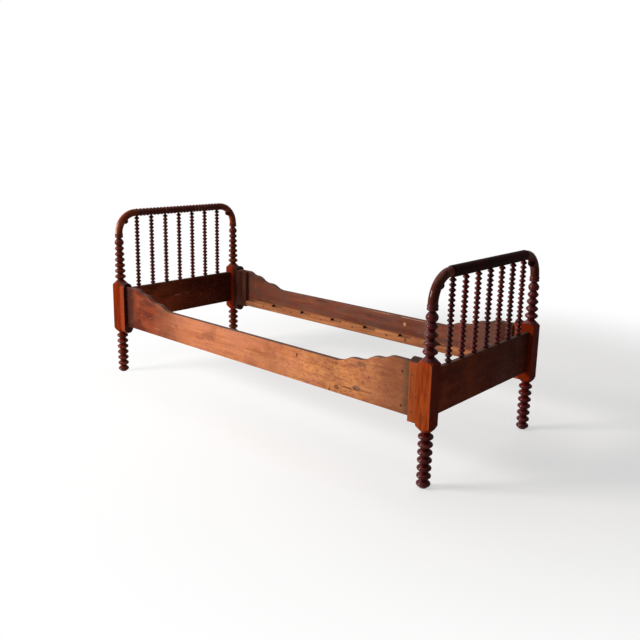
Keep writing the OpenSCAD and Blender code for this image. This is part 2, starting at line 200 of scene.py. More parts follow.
def makeWoodGrain():
    # grain that runs along X: broad figure, fine streaks and short dark pores
    s = grainPattern
    group, given, result = newGroup(
        "woodGrain", {"Vector": (0, 0, 0), "Streaks": 60.0, "Stretch": 14.0, "Rings": 7.0},
        ["Figure", "Streak", "Pores", "Height"])
    x, y, z = split(group, given["Vector"])
    along = maths(group, "DIVIDE", x, given["Stretch"])
    vector = combine(group, along, y, z)
    fine = noise(group, vector, given["Streaks"], s["detail"], s["rough"], s["wander"])
    broad = noise(group, vector, times(group, given["Streaks"], s["figure"]),
                  s["figureDetail"], s["figureRough"], s["figureWander"])
    turns = times(group, broad, given["Rings"], 2 * math.pi)
    wave = maths(group, "SINE", maths(group, "ADD", turns, times(group, fine, s["frayed"])))
    figure = maths(group, "MULTIPLY_ADD", wave, 0.5, 0.5)
    longer = combine(group, maths(group, "DIVIDE", along, s["poreStretch"]), y, z)
    pits = noise(group, longer, times(group, given["Streaks"], s["pores"]), s["poreDetail"])
    pores = fade(group, pits, *s["poreEdge"])
    height = maths(group, "SUBTRACT", times(group, fine, s["streakHeight"]),
                   times(group, pores, s["poreDepth"]))
    return giveOut(group, result, {"Figure": figure, "Streak": fine, "Pores": pores, "Height": height})


wearPattern = {
    "flat": 0.985,           # how far the rounded surface agrees with the true one on flat wood
    "corner": 0.80,          # and on a sharp corner
    "rays": 6,               # how finely the rounding is looked at
    "breaks": (0.38, 0.62),
    "detail": 4.0,
    "rough": 0.65,
}


def makeWornEdge():
    # where a corner has been rubbed: 1 on a broken edge, 0 on a flat face
    s = wearPattern
    group, given, result = newGroup(
        "wornEdge", {"Vector": (0, 0, 0), "Width": 0.004, "Breaks": 45.0, "Amount": 1.0}, ["Edge"])
    rounded = place(group, "Bevel", {"Radius": given["Width"]}, samples=s["rays"])[0]
    flat = place(group, "NewGeometry")["Normal"]
    match = vectorMaths(group, "DOT_PRODUCT", rounded, flat)["Value"]
    edge = fade(group, match, s["flat"], s["corner"])
    broken = noise(group, given["Vector"], given["Breaks"], s["detail"], s["rough"])
    rubbed = times(group, edge, fade(group, broken, *s["breaks"]))
    return giveOut(group, result, {"Edge": maths(group, "MULTIPLY", rubbed, given["Amount"], clamp=True)})


markShape = {
    "outside": 1.15,         # where a mark ends, against its half size
    "inside": 0.65,          # and where it is at its full strength
    "ragged": 4.0,           # how far the outline strays
    "detail": 3.0,
    "deep": 0.008,           # half size of a mark across the face it lies on
}


def makePatch():
    # a soft-edged mark of given half sizes round a point, with a ragged outline
    s = markShape
    group, given, result = newGroup(
        "patch", {"Vector": (0, 0, 0), "Centre": (0, 0, 0), "Size": (0.01, 0.01, 0.01), "Ragged": 0.4,
                  "Breaks": 120.0}, ["Mask"])
    shifted = vectorMaths(group, "SUBTRACT", given["Vector"], given["Centre"])[0]
    scaled = vectorMaths(group, "DIVIDE", shifted, given["Size"])[0]
    far = vectorMaths(group, "LENGTH", scaled)["Value"]
    broken = noise(group, given["Vector"], given["Breaks"], s["detail"])
    drift = times(group, maths(group, "SUBTRACT", broken, 0.5), given["Ragged"], s["ragged"])
    mask = fade(group, maths(group, "ADD", far, drift), s["outside"], s["inside"])
    return giveOut(group, result, {"Mask": mask})


def makeTurnedDepth():
    # distance from a turned piece's axis: 0 down in the grooves, 1 out on the crests
    group, given, result = newGroup(
        "turnedDepth", {"Across": 0.0, "Up": 0.0, "Groove": 0.016, "Crest": 0.028}, ["Crest"])
    squares = [maths(group, "POWER", given[side], 2.0) for side in ("Across", "Up")]
    far = maths(group, "SQRT", maths(group, "ADD", *squares))
    return giveOut(group, result, {"Crest": fade(group, far, given["Groove"], given["Crest"])})


varnishPattern = {
    "cloudDetail": 6.0,
    "cloudRough": 0.6,
    "cloudEdge": (0.3, 0.7),
    "fineDetail": 1.0,
    "specks": (0.70, 0.78),
    "speckClouds": (0.42, 0.60),         # dust and scratches show where the varnish is cloudy
    "scratches": (0.72, 0.80),
    "scratchClouds": (0.50, 0.62),
    "scratchTurn": (0.3, 0.25, 0.35),
    "scratchShape": (9.0, 260.0, 260.0),
    "scratchWander": 0.4,
}


def makeOldVarnish():
    # cloudy build-up, dust and fine scratches on old varnish
    s = varnishPattern
    group, given, result = newGroup(
        "oldVarnish", {"Vector": (0, 0, 0), "Clouds": 9.0, "Dust": 420.0}, ["Cloud", "Specks", "Scratches"])
    cloud = noise(group, given["Vector"], given["Clouds"], s["cloudDetail"], s["cloudRough"])
    dots = noise(group, given["Vector"], given["Dust"], s["fineDetail"])
    specks = times(group, fade(group, dots, *s["specks"]), fade(group, cloud, *s["speckClouds"]))
    drawn = place(group, "Mapping", {"Vector": given["Vector"], "Rotation": s["scratchTurn"],
                                     "Scale": s["scratchShape"]})[0]
    lines = noise(group, drawn, 1.0, s["fineDetail"], distortion=s["scratchWander"])
    scratches = times(group, fade(group, lines, *s["scratches"]), fade(group, cloud, *s["scratchClouds"]))
    return giveOut(group, result, {"Cloud": fade(group, cloud, *s["cloudEdge"]), "Specks": specks,
                                   "Scratches": scratches})


mottlePattern = {
    "shape": (0.45, 1.0, 1.0),           # longer along X
    "blotches": (0.36, 0.64),
    "blotchDetail": 4.0,
    "blotchRough": 0.55,
    "flecks": (0.54, 0.66),
    "fleckDetail": 3.0,
    "fleckRough": 0.6,
}


def makeMottle():
    # blotches and short flecks in old hand-rubbed board faces
    s = mottlePattern
    group, given, result = newGroup(
        "mottle", {"Vector": (0, 0, 0), "Blotches": 24.0, "Flecks": 150.0}, ["Blotch", "Fleck"])
    longer = place(group, "Mapping", {"Vector": given["Vector"], "Scale": s["shape"]})[0]
    wide = noise(group, longer, given["Blotches"], s["blotchDetail"], s["blotchRough"])
    small = noise(group, longer, given["Flecks"], s["fleckDetail"], s["fleckRough"])
    return giveOut(group, result, {"Blotch": fade(group, wide, *s["blotches"]),
                                   "Fleck": fade(group, small, *s["flecks"])})


woodGrain = makeWoodGrain()
mottle = makeMottle()
wornEdge = makeWornEdge()
patch = makePatch()
turnedDepth = makeTurnedDepth()
oldVarnish = makeOldVarnish()
print("shared effects ready")

grainTurns = {"x": (0, 0, 0), "y": (0, 0, -math.pi / 2), "z": (0, math.pi / 2, 0)}


def startFinish(name):
    material = bpy.data.materials.new(name)
    material.use_nodes = True
    tree = material.node_tree
    return material, tree, tree.nodes["Principled BSDF"], place(tree, "TexCoord")["Object"]


def grainOn(tree, spot, s):
    # the wood grain, turned so that it runs along the piece
    turned = place(tree, "Mapping", {"Vector": spot, "Rotation": grainTurns[s["along"]]})[0]
    return useGroup(tree, woodGrain, {"Vector": turned, "Streaks": s["streaks"], "Stretch": s["stretch"],
                                      "Rings": s["rings"]})


def varnishOn(tree, spot, s):
    return useGroup(tree, oldVarnish, {"Vector": spot, "Clouds": s["clouds"], "Dust": s["specks"]})


def mottleOn(tree, spot, scales):
    blotches, flecks = scales
    return useGroup(tree, mottle, {"Vector": spot, "Blotches": blotches, "Flecks": flecks})


def endFinish(tree, shader, s, colour, rough, height):
    depth, strength = s["bump"]
    bump = place(tree, "Bump", {"Height": height, "Distance": depth, "Strength": strength})[0]
    shader.inputs["Specular IOR Level"].default_value = s["mirror"]
    plug(tree, shader, {"Base Color": colour, "Roughness": rough, "Normal": bump})


def markMask(tree, spot, face, along, up, long, high):
    centre = (along, face["level"], up)
    size = (long, markShape["deep"], high)
    if face["looks"] == "x":
        centre = (face["level"], along, up)
        size = (markShape["deep"], long, high)
    return useGroup(tree, patch, {"Vector": spot, "Centre": centre, "Size": size})["Mask"]


def addMarks(tree, spot, colour, *faces):
    # small stains, knots and knocks on faces that look along X or Y and lie at their level;
    # each mark: place along the face and up, half length, half height, colour, share
    for face in faces:
        for along, up, long, high, tint, share in face["marks"]:
            mask = markMask(tree, spot, face, along, up, long, high)
            colour = lay(tree, colour, (tint, share), mask)
    return colour


outwardTurn = (-0.35, 0.35)


def outwardMask(tree, spot):
    # 1 on faces that look away from the bed across its width, 0 on the inner ones
    outward = times(tree, facing(tree)[1], maths(tree, "SIGN", split(tree, spot)[1]))
    return fade(tree, outward, *outwardTurn)


# in all finishes a code alone is a plain colour, and a code with a number is a colour and its share;
# two numbers, unless a note says otherwise, are where a layer begins and where it is full: how far the
# surface looks that way, how cloudy the varnish is, or a place in metres
turnedFinish = {
    "dark": "34090b",
    "warm": "4e1416",
    "cloudy": 0.5,                       # how far the dark colour comes back where the varnish is cloudy
    "red": ("6e1812", 0.55),             # the sticks whose stain has gone red
    "redSticks": (0.50, 0.62),
    "stickScale": 11.0,
    "groove": ("3c0a0c", 1.0),
    "grooveEdge": 0.35,                  # how far out of the grooves their colour reaches
    "brown": ("58200f", 0.7),            # the head end, which has stayed brown
    "footwardShade": ("1c0606", 0.6),          # painted shade: the sides that look to the foot end, away from the lamps, are darker
    "footwardShadeTurn": (-0.25, 0.75),
    "rubbed": ("8a4a3c", 0.35),          # crests that hands have rubbed
    "crest": (0.88, 1.0),
    "rubbedClouds": (0.5, 0.95),
    "dust": ("a58c84", 0.4),
    "streaks": 90.0,
    "stretch": 9.0,
    "rings": 5.0,
    "clouds": 14.0,
    "specks": 520.0,
    "rough": 0.45,
    "roughClouds": 0.2,
    "mirror": 0.015,
    "coat": 0.34,
    "coatRough": 0.16,
    "dulled": 0.8,                       # how much of the coat is gone on the sides that look to the foot end
    "bump": (0.00022, 0.6),              # depth and strength
}

# low and high: distances from the axis at which a groove is darkest and a crest most rubbed
postFinish = dict(
    turnedFinish, along="z", low=0.0135, high=0.0275, dark="3c0806", warm="701a12",
    brown=("66240f", 0.7), footwardShade=("280603", 0.6), farPost=("6e1812", 0.2), coat=0.50, coatRough=0.13)
spindleFinish = dict(turnedFinish, along="z", low=0.0060, high=0.0132)
# the head rail's paler rubbed crests and dust specks are partly wear and dust, partly painted highlight for
# the glints on its beads
headRailFinish = dict(
    turnedFinish, along="y", low=0.0162, high=0.0202, brown=("62260f", 0.7), rubbed=("a87c6a", 0.35),
    dust=("cdbdb4", 0.4), coat=0.36, coatRough=0.14)
rollFinish = dict(
    turnedFinish, along="y", low=0.0100, high=0.0200, dark="150405", warm="280809", red=("300c08", 0.55),
    groove=("150405", 1.0), footwardShade=("100304", 0.6), rubbed=("4a2420", 0.35), coat=0.05, mirror=0.005)

# the bends have no grooves; the head end's near one has a painted highlight, a paler strip on its outer side
# where the window's reflection falls
bendFinish = dict(
    turnedFinish, along="z", low=-0.01, high=0.0, dark="3c140a", warm="6a2a14", red=("6e2c14", 0.55),
    groove=("3c140a", 1.0), brown=("8a3c1c", 0.7), footwardShade=("180402", 0.6), coat=0.24, coatRough=0.13,
    paintedHighlight=("d0a890", 0.7), paintedHighlightTurn=(-0.82, -0.99), paintedHighlightFrom=(-0.28, -0.34))

blockFinish = {
    "outer": "9c451c",       # the posts' side faces at the foot, thin worn varnish
    "outerDark": "7c3010",
    "headOuter": "782400",   # the same at the head
    "headDark": "521600",
    "inner": "6e2008",       # the side faces that the end boards run into
    "bedward": ("b42a0a", 1.0),          # the faces that the hook blocks are glued to; their bright red is partly painted light, for window light that no lamp brings to the head posts' faces
    "end": ("52160a", 1.0),              # painted shade: the end faces are darker, as those at the foot look away from the lamps
    "streaks": (0.35, 0.65),
    "turn": (0.35, 0.8),
    "rise": 0.003,           # how far above the block's foot its finish starts
    "soft": 0.012,
    "shoulder": 0.014,       # how far below the block's top the dark finish of the turning comes down
}

blockMarks = {
    "looks": "y",
    "level": -0.4155,
    "marks": [
        (0.9615, 0.360, 0.0022, 0.004, "2a100a", 0.70),
        (0.9330, 0.430, 0.0016, 0.050, "4a1a0c", 0.50),
        (0.9530, 0.469, 0.0100, 0.012, "a8300f", 0.45),
        (0.9450, 0.270, 0.0140, 0.022, "5a2210", 0.35),
    ],
}


def blockMask(tree, z):
    # 1 on the square part of a post, 0 on the turned parts
    s = blockFinish
    bottom = bed["blockLow"] + s["rise"]
    top = bed["blockHigh"] - s["shoulder"]
    return times(tree, fade(tree, z, bottom, bottom + s["soft"]), fade(tree, z, top, top - s["soft"] / 2))


def paintBlocks(tree, spot, colour, grain, block):
    # the square blocks of the posts: bright side faces, end faces darkened with painted shade, and faces
    # towards the bed's middle along its length partly brightened with painted light
    s = blockFinish
    x = split(tree, spot)[0]
    streak = fade(tree, grain["Streak"], *s["streaks"])
    footTone = blend(tree, streak, paint(s["outerDark"]), paint(s["outer"]))
    headTone = blend(tree, streak, paint(s["headDark"]), paint(s["headOuter"]))
    side = blend(tree, footEnd(tree, x), headTone, footTone)
    bare = blend(tree, outwardMask(tree, spot), paint(s["inner"]), side)
    outwards = times(tree, facing(tree)[0], maths(tree, "SIGN", x))
    # painted shade on the end faces
    bare = lay(tree, bare, s["end"], fade(tree, outwards, *s["turn"]))
    # partly painted light on the faces towards the bed's middle along its length
    bare = lay(tree, bare, s["bedward"], fade(tree, maths(tree, "MULTIPLY", outwards, -1.0), *s["turn"]))
    return addMarks(tree, spot, blend(tree, block, colour, bare), blockMarks)


def makeTurnedFinish(name, s, across, up, blocks=False):
    # across and up give, from the coordinates, the two distances from the piece's own axis
    material, tree, shader, spot = startFinish(name)
    parts = split(tree, spot)
    x, y, z = parts
    turn = facing(tree)
    out = useGroup(tree, turnedDepth, {"Across": across(tree, parts), "Up": up(tree, parts),
                                       "Groove": s["low"], "Crest": s["high"]})["Crest"]
    grain = grainOn(tree, spot, s)
    varnish = varnishOn(tree, spot, s)
    colour = blend(tree, grain["Streak"], paint(s["dark"]), paint(s["warm"]))
    colour = lay(tree, colour, (s["dark"], s["cloudy"]), varnish["Cloud"])
    stick = noise(tree, combine(tree, x, y), s["stickScale"], 0.0)
    colour = lay(tree, colour, s["red"], fade(tree, stick, *s["redSticks"]))
    colour = lay(tree, colour, s["groove"], fade(tree, out, s["grooveEdge"], 0.0))
    if "farPost" in s:
        farSide = maths(tree, "GREATER_THAN", y, bed["postsFrom"])
        colour = lay(tree, colour, s["farPost"], footEnd(tree, x), farSide)
    colour = lay(tree, colour, s["brown"], headEnd(tree, x))
    # painted highlight on the head end's near bend
    if "paintedHighlight" in s:
        highlightSide = fade(tree, turn[1], *s["paintedHighlightTurn"])
        colour = lay(tree, colour, s["paintedHighlight"], highlightSide, fade(tree, y, *s["paintedHighlightFrom"]), headEnd(tree, x))
    # painted shade on the sides that look to the foot end
    footward = fade(tree, turn[0], *s["footwardShadeTurn"])
    colour = lay(tree, colour, s["footwardShade"], footward)
    crest = fade(tree, out, *s["crest"])
    colour = lay(tree, colour, s["rubbed"], crest, fade(tree, varnish["Cloud"], *s["rubbedClouds"]))
    coat = maths(tree, "MULTIPLY_ADD", footward, -s["coat"] * s["dulled"], s["coat"])
    if blocks:
        block = blockMask(tree, z)
        colour = paintBlocks(tree, spot, colour, grain, block)
        coat = times(tree, coat, maths(tree, "SUBTRACT", 1.0, block))
    colour = lay(tree, colour, s["dust"], varnish["Specks"])
    rough = maths(tree, "MULTIPLY_ADD", varnish["Cloud"], s["roughClouds"], s["rough"])
    plug(tree, shader, {"Coat Weight": coat, "Coat Roughness": s["coatRough"]})
    endFinish(tree, shader, s, colour, rough, grain["Height"])
    return material


def fromPostX(tree, parts):
    return maths(tree, "SUBTRACT", maths(tree, "ABSOLUTE", parts[0]), bed["halfRun"])


def fromPostY(tree, parts):
    return maths(tree, "SUBTRACT", maths(tree, "ABSOLUTE", parts[1]), bed["halfSpan"])


def fromSpindleY(tree, parts):
    # the spindles stand at equal steps, so the distance to the nearest one repeats
    half = bed["spindleStep"] / 2
    shift = maths(tree, "MULTIPLY_ADD", footEnd(tree, parts[0]), bed["footShift"] - bed["headShift"],
                  bed["headShift"])
    return maths(tree, "WRAP", maths(tree, "SUBTRACT", parts[1], shift), half, -half)


def fromHeadRail(tree, parts):
    return maths(tree, "SUBTRACT", parts[2], bed["headRailZ"])


def fromFootRail(tree, parts):
    return maths(tree, "SUBTRACT", parts[2], bed["footRailZ"])


postWood = makeTurnedFinish("postWood", postFinish, fromPostX, fromPostY, blocks=True)
spindleWood = makeTurnedFinish("spindleWood", spindleFinish, fromPostX, fromSpindleY)
headRailWood = makeTurnedFinish("headRailWood", headRailFinish, fromPostX, fromHeadRail)
rollWood = makeTurnedFinish("rollWood", rollFinish, fromPostX, fromFootRail)
bendWood = makeTurnedFinish("bendWood", bendFinish, fromPostX, fromPostY)
print("turned wood ready")


railFinish = {
    "pink": ("b06c54", 0.55),
    "honey": ("d2934f", 0.50),           # yellower patches and darker ones towards the foot end
    "tea": ("8c4c2c", 0.45),
    "patchedFrom": (0.05, 0.45),
    "fleck": ("8a4c32", 0.45),
    "fleckedFrom": (0.25, 0.55),
    "fleckedMore": 0.30,                 # added to the flecks' share towards the foot end
    "scrape": ("5a3424", 0.7),
    "scrapedFrom": (0.30, 0.55),
    "headRed": "521a08",                 # old stain left towards the head end
    "headRedFrom": (-0.25, -0.78),
    "headRedClouds": 0.25,               # how far the varnish's clouds add to it
    "headRedLess": 0.14,                 # and how much is rubbed off all over
    "headRubbed": ("a04a22", 0.45),      # brighter blotches in that stain
    "headRubbedFrom": (-0.50, -0.74),
    "headRubbedTo": (-0.85, -0.78),
    "footDark": ("824a30", 0.75),        # over the cleat at the foot end
    "footDarkFrom": (0.58, 0.84),
    "headBand": ("30140c", 0.85),        # the dark strip next to the hook block at the head
    "headBandReach": (0.075, 0.030),
    "footBand": ("52402e", 0.8),         # and at the foot
    "footBandReach": (0.055, 0.015),
    "joint": ("2e221c", 0.55),           # dirt along the joint itself
    "jointReach": (0.013, 0.004),
    "inner": "80432e",                   # the unvarnished back of the rail
    "innerDark": "5a2c1e",
    "innerStreaks": (0.3, 0.7),
    "innerGrey": ("5a4438", 0.5),
    "innerGreyFrom": (0.62, 0.80),
    "slatLine": ("a0683f", 0.5),         # paler wood low down, where the slats kept the dirt off
    "slatLineUp": (0.308, 0.301),
    "worn": ("b98c70", 0.65),            # a stretch of the far rail's upper edge, rubbed bright
    "wornLow": (0.3845, 0.3865),
    "wornHigh": (0.3905, 0.3885),
    "wornFrom": (0.02, 0.22),
    "wornTo": (0.50, 0.42),
    "wornClouds": (0.25, 0.6),
    # darker top faces: partly dirt, partly painted shade, as faces looking up get little of the low light
    "top": ("503630", 0.9),
    "topTurn": (0.25, 0.7),
    "mottle": (24.0, 150.0),             # the scales of the blotches and of the flecks
    "patches": (62.0, 90.0),
}

nearRailMarks = {
    "looks": "y",
    "level": -0.3965,
    "marks": [
        (0.637, 0.300, 0.0230, 0.0105, "5a4036", 0.80),     # a knot with a grey heart
        (0.639, 0.3005, 0.0100, 0.0045, "7e7068", 0.60),
        (0.680, 0.2975, 0.0360, 0.0034, "643a28", 0.60),    # grain that runs dark out of it
        (0.630, 0.296, 0.0080, 0.0030, "2e1c16", 0.85),
        (0.590, 0.291, 0.0340, 0.0040, "5e3220", 0.80),
        (0.537, 0.281, 0.0150, 0.0105, "74462f", 0.70),     # a smaller knot
        (0.537, 0.281, 0.0040, 0.0030, "4a2a1c", 0.60),
        (0.501, 0.262, 0.0060, 0.0050, "3c2018", 0.75),     # knocks and nail spots
        (0.323, 0.364, 0.0045, 0.0095, "522618", 0.90),
        (0.694, 0.357, 0.0055, 0.0045, "5c2a1a", 0.65),
        (0.669, 0.333, 0.0050, 0.0040, "5c2a1a", 0.60),
        (0.659, 0.399, 0.0240, 0.0110, "6a4636", 0.70),     # stains under the foot end's waves
        (0.800, 0.360, 0.0500, 0.0700, "6e3c28", 0.30),
        (0.610, 0.390, 0.0200, 0.0060, "7c5442", 0.45),
        (0.750, 0.410, 0.0260, 0.0030, "6a3a28", 0.60),
        (0.770, 0.390, 0.0300, 0.0030, "6a3a28", 0.55),
        (0.190, 0.340, 0.0140, 0.0300, "8c5444", 0.45),     # stains along the middle
        (-0.330, 0.320, 0.0600, 0.0120, "9a5036", 0.45),
        (-0.240, 0.330, 0.0500, 0.0180, "7a4230", 0.50),
        (-0.298, 0.312, 0.0350, 0.0080, "84462e", 0.45),
        (-0.502, 0.326, 0.0200, 0.0024, "c89070", 0.30),    # pale scratches and dark stain near the head
        (-0.632, 0.291, 0.0240, 0.0024, "c08868", 0.28),
        (-0.478, 0.335, 0.0100, 0.0060, "5e3020", 0.60),
        (-0.603, 0.382, 0.0700, 0.0160, "5c2a1a", 0.45),
        (-0.719, 0.403, 0.0600, 0.0200, "4a2418", 0.55),
        (-0.686, 0.378, 0.0600, 0.0200, "8a3418", 0.50),
    ],
}

farRailMarks = {
    "looks": "y",
    "level": 0.3745,
    "marks": [
        (0.311, 0.353, 0.009, 0.010, "c8a070", 0.75),
        (0.160, 0.355, 0.080, 0.011, "54281e", 0.50),
        (-0.200, 0.335, 0.120, 0.014, "5e3024", 0.45),
        (0.090, 0.360, 0.020, 0.009, "3e2a28", 0.55),
        (-0.230, 0.380, 0.050, 0.006, "3a2620", 0.65),
        (-0.830, 0.380, 0.020, 0.070, "6e5a42", 0.55),
    ],
}


def endBand(tree, towards, reach):
    # 0 at the first distance from the rail's end, 1 at the second, which is nearer to it
    far, near = reach
    return fade(tree, towards, bed["railEnd"] - far, bed["railEnd"] - near)


def railOutside(tree, colour, x, varnish, blotches, patches):
    # the face that shows: thin varnish, patchier to the foot end and redder to the head end
    s = railFinish
    colour = lay(tree, colour, s["pink"], blotches["Blotch"])
    patched = fade(tree, x, *s["patchedFrom"])
    colour = lay(tree, colour, s["honey"], patches["Blotch"], patched)
    colour = lay(tree, colour, s["tea"], patches["Fleck"], patched)
    fleck, share = s["fleck"]
    flecked = maths(tree, "MULTIPLY_ADD", fade(tree, x, *s["fleckedFrom"]), s["fleckedMore"], share)
    colour = lay(tree, colour, (fleck, 1.0), blotches["Fleck"], flecked)
    colour = lay(tree, colour, s["scrape"], varnish["Scratches"], fade(tree, x, *s["scrapedFrom"]))
    red = maths(tree, "MULTIPLY_ADD", varnish["Cloud"], s["headRedClouds"], fade(tree, x, *s["headRedFrom"]))
    red = maths(tree, "SUBTRACT", red, s["headRedLess"], clamp=True)
    colour = lay(tree, colour, (s["headRed"], 1.0), red)
    colour = lay(tree, colour, s["headRubbed"], blotches["Blotch"], fade(tree, x, *s["headRubbedFrom"]),
                 fade(tree, x, *s["headRubbedTo"]))
    colour = lay(tree, colour, s["footDark"], fade(tree, x, *s["footDarkFrom"]))
    headwards = maths(tree, "MULTIPLY", x, -1.0)
    colour = lay(tree, colour, s["headBand"], endBand(tree, headwards, s["headBandReach"]))
    uneven = maths(tree, "MULTIPLY_ADD", blotches["Blotch"], 0.5, 0.5)
    colour = lay(tree, colour, s["footBand"], uneven, endBand(tree, x, s["footBandReach"]))
    return lay(tree, colour, s["joint"], endBand(tree, x, s["jointReach"]))


def railInside(tree, x, z, grain, blotches):
    # the bare back: greyer in blotches and to the foot end, paler along the slats
    s = railFinish
    streak = fade(tree, grain["Streak"], *s["innerStreaks"])
    colour = blend(tree, streak, paint(s["innerDark"]), paint(s["inner"]))
    colour = lay(tree, colour, s["innerGrey"], blotches["Blotch"])
    colour = lay(tree, colour, s["innerGrey"], fade(tree, x, *s["innerGreyFrom"]))
    return lay(tree, colour, s["slatLine"], fade(tree, z, *s["slatLineUp"]))


def dressRail(tree, colour, at):
    s = railFinish
    x, y, z = split(tree, at["spot"])
    blotches = mottleOn(tree, at["spot"], s["mottle"])
    patches = mottleOn(tree, at["spot"], s["patches"])
    outside = railOutside(tree, colour, x, at["varnish"], blotches, patches)
    inside = railInside(tree, x, z, at["grain"], blotches)
    colour = blend(tree, outwardMask(tree, at["spot"]), inside, outside)
    edge = times(tree, fade(tree, z, *s["wornLow"]), fade(tree, z, *s["wornHigh"]))
    reach = times(tree, fade(tree, x, *s["wornFrom"]), fade(tree, x, *s["wornTo"]))
    clouds = fade(tree, at["varnish"]["Cloud"], *s["wornClouds"])
    colour = lay(tree, colour, s["worn"], edge, reach, clouds, maths(tree, "GREATER_THAN", y, 0.0))
    # partly painted shade on the faces that look up
    colour = lay(tree, colour, s["top"], fade(tree, facing(tree)[2], *s["topTurn"]))
    return addMarks(tree, at["spot"], colour, nearRailMarks, farRailMarks)


panelFinish = {
    "paintedSheen": ("8a4426", 0.6),             # painted sheen, redder towards the near side
    "paintedSheenFrom": (0.10, -0.30),
    "paintedSheenClouds": (0.1, 0.8),
    "far": ("2a0d07", 0.75),
    "farFrom": (-0.20, 0.30),
    "fleck": ("8a4426", 0.3),
    "mottle": (30.0, 110.0),             # the scales of the blotches and of the flecks
    # painted highlight: the top edges, lit grey
    "top": ("5e4a44", 0.7),
    "topTurn": (0.3, 0.8),
}

headPanelMarks = {
    "looks": "x",
    "level": -0.9415,
    "marks": [
        (-0.030, 0.363, 0.026, 0.0030, "8a6a60", 0.55),
        (0.040, 0.367, 0.018, 0.0026, "8a6a60", 0.40),
        (-0.216, 0.383, 0.020, 0.0028, "8a6a60", 0.45),
    ],
}

footPanelMarks = {
    "looks": "x",
    "level": 0.9635,
    "marks": [
        (-0.240, 0.356, 0.050, 0.006, "74371c", 0.40),
        (-0.120, 0.400, 0.030, 0.005, "5e2a16", 0.40),
    ],
}


def dressPanel(tree, colour, at):
    s = panelFinish
    y = split(tree, at["spot"])[1]
    clouds = fade(tree, at["varnish"]["Cloud"], *s["paintedSheenClouds"])
    # painted sheen on the panels, towards the near side
    colour = lay(tree, colour, s["paintedSheen"], fade(tree, y, *s["paintedSheenFrom"]), clouds)
    colour = lay(tree, colour, s["far"], fade(tree, y, *s["farFrom"]))
    colour = lay(tree, colour, s["fleck"], mottleOn(tree, at["spot"], s["mottle"])["Fleck"])
    # painted highlight along the panels' top edges
    colour = lay(tree, colour, s["top"], fade(tree, facing(tree)[2], *s["topTurn"]))
    return addMarks(tree, at["spot"], colour, headPanelMarks, footPanelMarks)


hookBlockFinish = {
    "head": ("7a2603", 0.85),
    "headFrom": (0.1, -0.1),
    "inner": "3c1a10",                   # the faces towards the bed's middle at the head, and at the foot
    "footInner": "a04a1e",
    # painted shade: the end faces, which look along the bed, darker
    "end": ("2e0f08", 1.0),
    "endTurn": (0.35, 0.8),
    # darker tops: partly dirt, partly painted shade, as faces looking up get little of the low light
    "crown": ("35201b", 1.0),
    "crownTurn": (0.25, 0.6),
}

hookBlockMarks = {
    "looks": "y",
    "level": -0.4140,
    "marks": [
        (0.9230, 0.470, 0.0018, 0.026, "1e0a06", 0.9),
        (0.9225, 0.430, 0.0012, 0.026, "3c170c", 0.6),
        (0.9215, 0.342, 0.0026, 0.004, "2e120b", 0.8),
        (0.9035, 0.2805, 0.0030, 0.005, "2e120b", 0.8),
        (0.8960, 0.390, 0.0030, 0.080, "5e2810", 0.5),
    ],
}


def dressHookBlock(tree, colour, at):
    s = hookBlockFinish
    turn = facing(tree)
    x = split(tree, at["spot"])[0]
    colour = lay(tree, colour, s["head"], fade(tree, x, *s["headFrom"]))
    inner = blend(tree, footEnd(tree, x), paint(s["inner"]), paint(s["footInner"]))
    colour = blend(tree, outwardMask(tree, at["spot"]), inner, colour)
    # painted shade on the hook blocks' end faces
    colour = lay(tree, colour, s["end"], fade(tree, maths(tree, "ABSOLUTE", turn[0]), *s["endTurn"]))
    # partly painted shade on the hook blocks' tops
    colour = lay(tree, colour, s["crown"], fade(tree, turn[2], *s["crownTurn"]))
    return addMarks(tree, at["spot"], colour, hookBlockMarks)


ledgeFinish = {
    "floor": ("9c6c50", 0.8),            # dull bottoms of the slat gains
    "floorFrom": (0.006, 0.002),         # heights above the bottom
    "gainEndShade": ("24140e", 0.9),             # painted shade: the gains' end faces, darker
    "turn": (0.4, 0.8),
}

ledgeMarks = {
    "looks": "y",
    "level": 0.3545,
    "marks": [
        (0.332, 0.283, 0.004, 0.012, "2a1810", 0.85),
        (0.060, 0.278, 0.050, 0.003, "6a3818", 0.60),
        (0.230, 0.290, 0.030, 0.003, "6a3818", 0.60),
    ],
}


def dressLedge(tree, colour, at):
    s = ledgeFinish
    turn = facing(tree)
    high, low = s["floorFrom"]
    z = split(tree, at["spot"])[2]
    deep = fade(tree, z, bed["gainFloor"] + high, bed["gainFloor"] + low)
    colour = lay(tree, colour, s["floor"], fade(tree, turn[2], *s["turn"]), deep)
    # painted shade on the end faces of the slat gains
    colour = lay(tree, colour, s["gainEndShade"], fade(tree, maths(tree, "ABSOLUTE", turn[0]), *s["turn"]))
    return addMarks(tree, at["spot"], colour, ledgeMarks)


